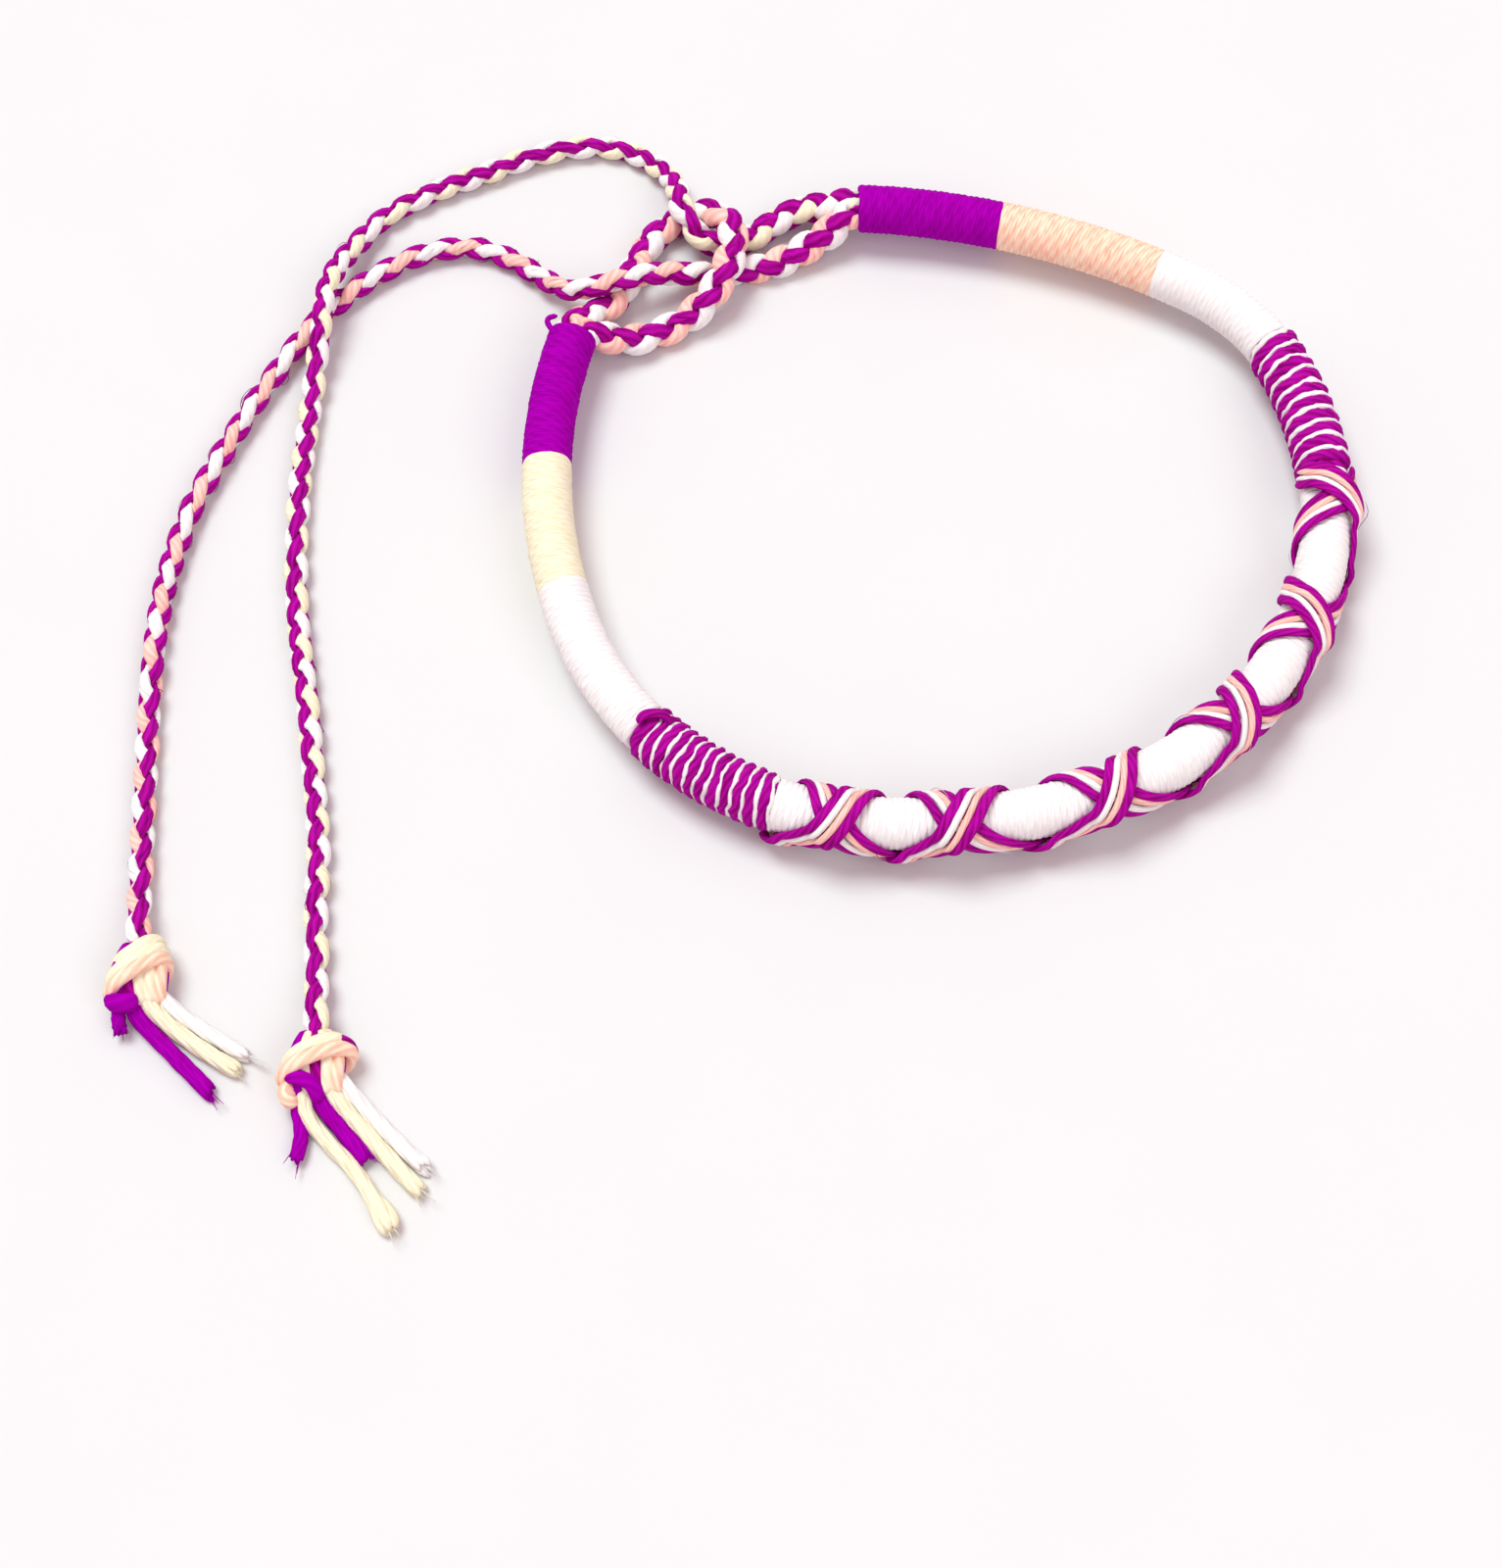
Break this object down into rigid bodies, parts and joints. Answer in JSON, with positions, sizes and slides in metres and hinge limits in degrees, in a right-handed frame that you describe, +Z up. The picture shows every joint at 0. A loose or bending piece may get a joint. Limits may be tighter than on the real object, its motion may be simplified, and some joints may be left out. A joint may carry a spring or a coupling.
{
  "type": "friendship bracelet",
  "caption": "Thread-wound friendship bracelet in colour blocks with criss-crossed bands, tied by two braided cords through an eye.",
  "frame": {"origin": "middle of the box of the wound ring and its eye, on the surface that it lies on", "axes": "+Z up, +X right, +Y away from the viewer, towards the closure"},
  "size_m": [0.1095, 0.1117, 0.0077],
  "materials": {
    "purple_thread": "smooth wound cotton floss",
    "violet_thread": "twisted cotton floss",
    "cream_thread": "cotton floss",
    "peach_thread": "smooth wound cotton floss",
    "white_thread": "smooth wound cotton floss"
  },
  "bodies": {
    "root": {"core_bundle": "cream_thread", "purple_left": "purple_thread", "cream_left": "cream_thread", "white_left": "white_thread", "whipping_left": "violet_thread", "white_front": "white_thread", "cross_under": "violet_thread", "cross_over": "violet_thread", "whipping_right": "violet_thread", "white_right": "white_thread", "peach_right": "peach_thread", "purple_right": "purple_thread", "eye_loop": "cream_thread", "tie_a": "cream_thread", "tie_b": "cream_thread", "knot_a": "cream_thread", "knot_b": "cream_thread", "tassel_a": "cream_thread", "tassel_b": "cream_thread"}
  },
  "joints": []
}
